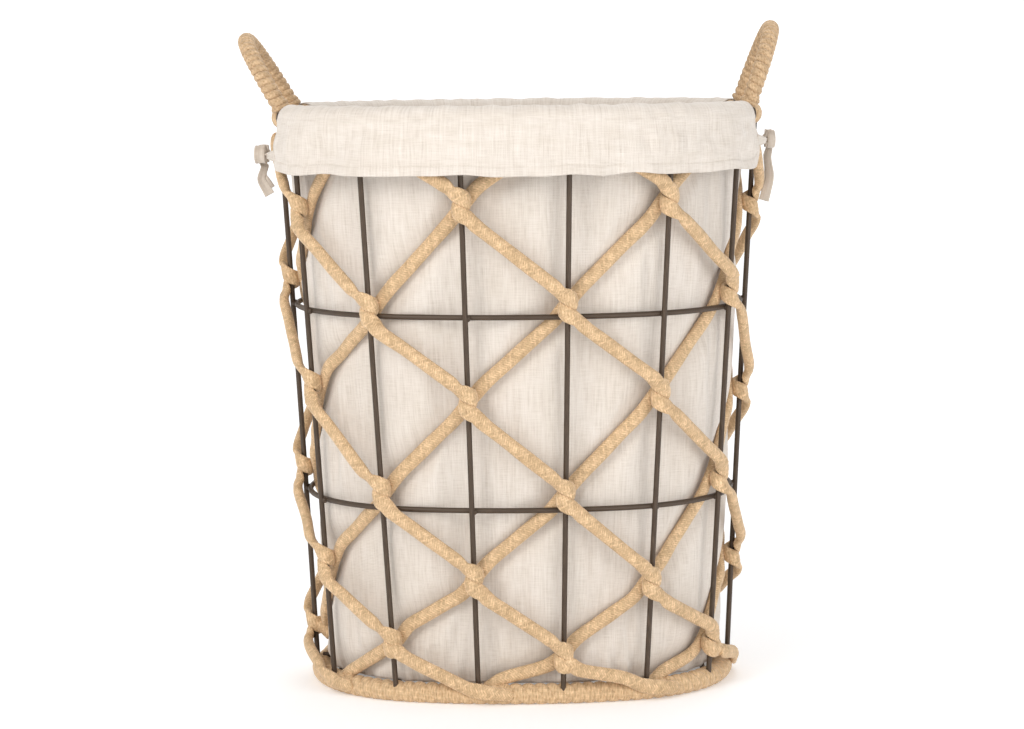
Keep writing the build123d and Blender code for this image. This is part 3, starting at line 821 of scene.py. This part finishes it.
def cuff(name, first, last):
    columns = 420
    normals = np.linspace(first, last, columns)
    ring = on_oval(RIM_Z, normals, -RING_INSET)
    length = np.concatenate([[0], np.cumsum(np.linalg.norm(np.diff(ring, axis=0), axis=1))])
    total = length[-1]
    share = length / total
    inner = np.linspace(LINER_TOP_Z - RIM_Z - 0.004, 0, 10, endpoint=False)
    over = np.linspace(math.pi, 0, 26)
    down = np.linspace(0, 1, 46)[1:]
    rows = len(inner) + len(over) + len(down)
    wave = Soft(1.0, (2, 9), (0.08, 0.3), 26)
    small = Soft(1.0, (10, 30), (0.03, 0.09), 34)
    ripple = Soft(1.0, (1, 6), (0.030, 0.060), 24)
    hem = Soft(1.0, (3, 12), (0.5, 1.0), 20)
    from_end = np.minimum(length, total - length)
    corner = 0.012
    lift = corner - np.sqrt(np.maximum(corner**2 - np.maximum(corner - from_end, 0) ** 2, 0))
    bottom = CUFF_BOTTOM_Z - RIM_Z + lift + 0.0007 * hem(share, 0.0)
    angle = np.radians(normals)
    outward = np.stack([np.cos(angle), np.sin(angle), np.zeros(columns)], 1)
    points = np.zeros((rows, columns, 3))
    drop = np.zeros((rows, columns))
    r = FOLD_R + 0.0006
    row = 0

    def cuff_out(share, z, t):
        """How far the outer flap stands from the rim wire, t of the way down it."""
        soft = 0.0010 * wave(share, z) + 0.0008 * ripple(share, z) + 0.0003 * small(share, z)
        return r + 0.0006 + CUFF_FLARE * t + np.minimum(3 * t, 1) * soft

    for up in inner:
        points[row] = ring - outward * r + UP * up
        drop[row] = -0.05 + up
        row += 1
    for turn in over:
        size = r + 0.0003 * small(share, turn * 0.02)[:, None]
        points[row] = ring + outward * size * math.cos(turn) + UP * size * math.sin(turn)
        drop[row] = -0.035 + 0.0115 * (math.pi - turn)
        row += 1
    toward = np.cross(UP, outward) * (np.where(length < total / 2, -1, 1) * np.exp(-from_end / 0.02))[:, None]
    for t in down:
        z = bottom * t
        out = cuff_out(share, z, t)
        hem_line = np.exp(-(((bottom * t - bottom - 0.0085) / 0.0011) ** 2))
        out -= 0.0007 * hem_line
        out += 0.0005 * (bottom * t - bottom < 0.0085)
        points[row] = ring + outward * np.maximum(out, r)[:, None] + UP * z[:, None]
        points[row] += toward * FLAP_REACH * math.sin(min(2.2 * t, 1) * math.pi / 2)
        drop[row] = -z
        row += 1
    cloth = np.stack([np.tile(length, (rows, 1)), drop, np.ones((rows, columns))], -1)
    piece = cloth_piece(name, points, rows, columns, False, linen, "linen", cloth)
    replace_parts(piece, name)
    stitches = hem_stitches(f"{name}_stitches", ring, outward, length, bottom, share, cuff_out)


def hem_stitches(name, ring, outward, length, bottom, share, cuff_out):
    """Machine stitches along the cuff's hem, each a small raised capsule."""
    pitch, long, thick = 0.0034, 0.0011, 0.00030
    places = np.arange(0.014, length[-1] - 0.014, pitch)
    steps, around = 6, 6
    points, faces, caps = [], [], []

    def spot(at):
        base = np.array([np.interp(at, length, ring[:, k]) for k in range(3)])
        out = np.array([np.interp(at, length, outward[:, k]) for k in range(3)])
        low = np.interp(at, length, bottom)
        s = np.interp(at, length, share)
        t = (low + 0.0085) / low
        z = low + 0.0085
        push = cuff_out(s, z, t) - 0.0007
        return base + out * (push + CLOTH_T / 2 + thick * 0.4) + UP * z, out

    for number, at in enumerate(places):
        (a, out), (b, _) = spot(at - long), spot(at + long)
        forward = unit(b - a)
        side = np.cross(out, forward)
        t = np.linspace(0, 1, steps)[:, None]
        size = thick * np.sqrt(1 - (2 * t - 1) ** 2 * 0.95)
        turn = np.linspace(0, 2 * math.pi, around, endpoint=False)[None, :]
        ring_points = (
            (a + (b - a) * t)[:, None]
            + out * (size * np.cos(turn))[..., None]
            + side * (size * np.sin(turn))[..., None]
        )
        start = number * steps * around
        points.append(ring_points.reshape(-1, 3))
        faces.append(grid_faces(steps, around, True) + start)
        caps += [np.arange(around)[::-1] + start, np.arange(around) + start + (steps - 1) * around]
    return make_piece(name, np.concatenate(points), np.concatenate(faces), thread, "basket", "linen", caps)


for cuff_name, (cuff_first, cuff_last) in cuff_edges().items():
    cuff(cuff_name, cuff_first, cuff_last)


# ---- ties ----
def ribbon(line, across, width):
    """A grid of points along a ribbon, its face soft with a crease down its middle."""
    columns = 9
    place = np.linspace(-1, 1, columns)[None, :, None]
    forward = unit(np.gradient(line, axis=0))
    across = unit(across - (across * forward).sum(1, keepdims=True) * forward)
    face = np.cross(forward, across)
    width = np.broadcast_to(width, len(line))[:, None, None]
    dip = 0.0006 * (1 - np.abs(place)) - 0.0002
    points = line[:, None] + across[:, None] * place * width / 2 + face[:, None] * dip
    along = np.concatenate([[0], np.cumsum(np.linalg.norm(np.diff(line, axis=0), axis=1))])
    cloth = np.stack(
        [
            np.tile(place[:, :, 0] * RIBBON_W / 2, (len(line), 1)),
            np.tile(along[:, None], (1, columns)),
            np.full((len(line), columns), 3.0),
        ],
        -1,
    )
    return points, cloth


def tie(side):
    sign = -1 if side == "left" else 1
    z = STRAP_Z[side]
    edge_normal = normal_for_y(RIM_Z, -RING_INSET, HANDLE_SPAN / 2 + CUFF_FOOT_GAP)
    edge = np.abs(on_oval(RIM_Z, edge_normal, FOLD_R + 0.0022 - RING_INSET))
    face_x = HALF_LENGTH[2] + STRAP_OUT[side]
    # the strap bows out over the ropes from one flap's edge to the other's
    y = np.linspace(-edge[1], edge[1], 90)
    bow = 1 - (y / edge[1]) ** 2
    flap_x = edge[0] + CUFF_FLARE * (RIM_Z - z) / (RIM_Z - CUFF_BOTTOM_Z)
    band = np.stack([sign * (flap_x + (face_x - flap_x) * bow), y, z - 0.0015 * bow], 1)
    strips = [ribbon(band, np.tile(UP, (90, 1)), RIBBON_W * (1 - 0.62 * bow**1.5))]
    hub = np.array((sign * face_x, 0.0, z - 0.0015))
    x_out = np.array((sign, 0.0, 0.0))
    close = 0.0 if side == "left" else -0.0022  # the right bow lies flatter against the rim

    def local(y, up, away):
        return hub + np.array((0.0, y, up)) + x_out * (away + close)

    # the knot: two turns of ribbon round the strap
    for tilt, size in ((0.15, 0.0036), (0.7, 0.0031)):
        t = np.linspace(0, 2 * math.pi, 40)
        away, up = 0.0022 + close / 2 + 0.95 * size * np.sin(t), 1.35 * size * np.cos(t)
        line = hub + np.stack([sign * away, tilt * up * 0.5, up], 1)
        axis = np.tile((0.0, math.cos(tilt), math.sin(tilt) * 0.6), (40, 1))
        strips.append(ribbon(line, axis, 0.0064))
    flat = 1.0 if side == "left" else 0.7
    for y_sign in (-1, 1):
        # a loop that springs from the knot, bulges and comes back under itself
        loop = [
            local(0.001 * y_sign, 0.0015, 0.0036), local(0.006 * y_sign, 0.0058, 0.0046),
            local(0.013 * y_sign, 0.0088, 0.0058), local(0.0205 * y_sign, 0.0060, 0.0064),
            local(0.0228 * y_sign, -0.0005, 0.0066), local(0.0185 * y_sign, -0.0066, 0.0060),
            local(0.010 * y_sign, -0.0070, 0.0048), local(0.001 * y_sign, -0.0025, 0.0032),
        ]
        line = smooth_line(loop, 0.0008)
        width = flat * (0.0056 + 0.0046 * np.sin(np.linspace(0, math.pi, len(line))) ** 0.7)
        strips.append(ribbon(line, np.tile(x_out + (0, 0.10 * y_sign, 0), (len(line), 1)), width))
        drop = TAIL[side] * (1.0 if y_sign < 0 else 0.86)
        swing = 0.0040 if side == "left" else 0.0026
        tail = [
            local(0.001 * y_sign, -0.0010, 0.0036), local(0.0035 * y_sign, -0.0075, 0.0056),
            local(0.0060 * y_sign, -0.3 * drop, 0.0048 - swing * 0.3),
            local(0.0070 * y_sign, -0.6 * drop, 0.0044 + swing * 0.5),
            local(0.0055 * y_sign, -0.85 * drop, 0.0040 - swing * 0.5),
            local(0.0045 * y_sign, -drop, 0.0030 - swing),
        ]
        line = smooth_line(tail, 0.0008)
        twist = np.linspace(0.9, 0.15, len(line))[:, None]
        across = x_out * np.cos(twist) + np.array((0.0, y_sign, 0.0)) * np.sin(twist)
        strips.append(ribbon(line, across, 0.0072 + 0.0024 * np.linspace(0, 1, len(line))))
    points, faces, cloth, start = [], [], [], 0
    for p, c in strips:
        points.append(p.reshape(-1, 3))
        cloth.append(c.reshape(-1, 3))
        faces.append(grid_faces(p.shape[0], p.shape[1], False) + start)
        start += p.shape[0] * p.shape[1]
    piece = make_piece(
        f"tie_{side}", np.concatenate(points), np.concatenate(faces), ribbon_linen, "basket", "ribbon",
        cloth=np.concatenate(cloth),
    )
    solid = piece.modifiers.new("thickness", "SOLIDIFY")
    solid.thickness, solid.offset = 0.0007, 0.0
    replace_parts(piece, f"tie_{side}")


for side in LEAN:
    tie(side)


# ---- the stage ----
def stage():
    floor, nodes, links = new_material("floor")
    shader = nodes["Principled BSDF"]
    shader.inputs["Base Color"].default_value = (0.92, 0.925, 0.935, 1)
    shader.inputs["Roughness"].default_value = 0.9
    shader.inputs["Emission Color"].default_value = (1, 1, 1, 1)
    # the far floor lies outside the lamps' light, so it glows a little more to stay white
    coordinates = nodes.new("ShaderNodeTexCoord")
    distance = nodes.new("ShaderNodeVectorMath")
    distance.operation = "LENGTH"
    glow = nodes.new("ShaderNodeMapRange")
    glow.interpolation_type = "SMOOTHSTEP"
    glow.inputs["From Min"].default_value, glow.inputs["From Max"].default_value = 1.2, 4.0
    glow.inputs["To Min"].default_value, glow.inputs["To Max"].default_value = 0.20, 0.44
    links.new(coordinates.outputs["Object"], distance.inputs[0])
    links.new(distance.outputs["Value"], glow.inputs["Value"])
    links.new(glow.outputs["Result"], shader.inputs["Emission Strength"])
    # a round floor with a low turned-up edge, wide enough for a camera on any side to stand inside it
    rings = [(0.5, 0.0), (3.0, 0.0), (6.5, 0.0)]
    rings += [(6.5 + 1.2 * math.sin(a), 1.2 - 1.2 * math.cos(a)) for a in np.linspace(0.1, math.pi / 2, 16)]
    turns = np.linspace(0, 2 * math.pi, 96, endpoint=False)
    points = [(r * math.cos(t), r * math.sin(t), z) for r, z in rings for t in turns]
    faces = [tuple(range(96))]
    for k in range(len(rings) - 1):
        faces += [(k * 96 + i, (k + 1) * 96 + i, (k + 1) * 96 + (i + 1) % 96, k * 96 + (i + 1) % 96) for i in range(96)]
    mesh = bpy.data.meshes.new("floor")
    mesh.from_pydata(points, [], faces)
    mesh.polygons.foreach_set("use_smooth", [True] * len(faces))
    mesh.materials.append(floor)
    plane = bpy.data.objects.new("floor", mesh)
    bpy.context.scene.collection.objects.link(plane)


def area_light(name, place, target, size, power, colour=(1, 1, 1)):
    data = bpy.data.lights.new(name, "AREA")
    data.shape, data.size, data.energy, data.color = "DISK", size, power, colour
    light = bpy.data.objects.new(name, data)
    light.location = place
    light.rotation_mode = "QUATERNION"
    light.rotation_quaternion = (Vector(target) - Vector(place)).to_track_quat("-Z", "Y")
    bpy.context.scene.collection.objects.link(light)


def lights():
    middle = (0, 0, 0.3)
    area_light("key", (-1.7, -2.3, 1.9), middle, 1.8, 42, (1.0, 0.985, 0.965))
    area_light("fill", (2.1, -2.2, 0.9), middle, 2.2, 25, (0.97, 0.985, 1.0))
    area_light("back", (0.5, 1.9, 2.4), middle, 1.8, 22)
    world = bpy.data.worlds.new("studio")
    world.use_nodes = True
    world.node_tree.nodes["Background"].inputs["Color"].default_value = (1.0, 1.0, 1.0, 1)
    world.node_tree.nodes["Background"].inputs["Strength"].default_value = 0.65
    bpy.context.scene.world = world
    bpy.context.scene.view_settings.view_transform = "Standard"


def camera():
    yaw, tilt, roll, pan = (math.radians(x) for x in (0.63, 6.26, 0.58, 0.146))
    right = Vector((math.cos(yaw), math.sin(yaw), 0))
    ahead = Vector((-math.sin(yaw) * math.cos(tilt), math.cos(yaw) * math.cos(tilt), -math.sin(tilt)))
    above = right.cross(ahead)
    x_axis = right * math.cos(roll) - above * math.sin(roll)
    y_axis = right * math.sin(roll) + above * math.cos(roll)
    turned = Matrix((x_axis, y_axis, -ahead)).transposed() @ Matrix.Rotation(pan, 3, "Y")
    data = bpy.data.cameras.new("camera")
    data.lens, data.sensor_width = 99.39, 36.0
    view = bpy.data.objects.new("camera", data)
    view.matrix_world = Matrix.Translation((0.0297, -2.6998, 0.5971)) @ turned.to_4x4()
    bpy.context.scene.collection.objects.link(view)
    bpy.context.scene.camera = view


stage()
lights()
camera()
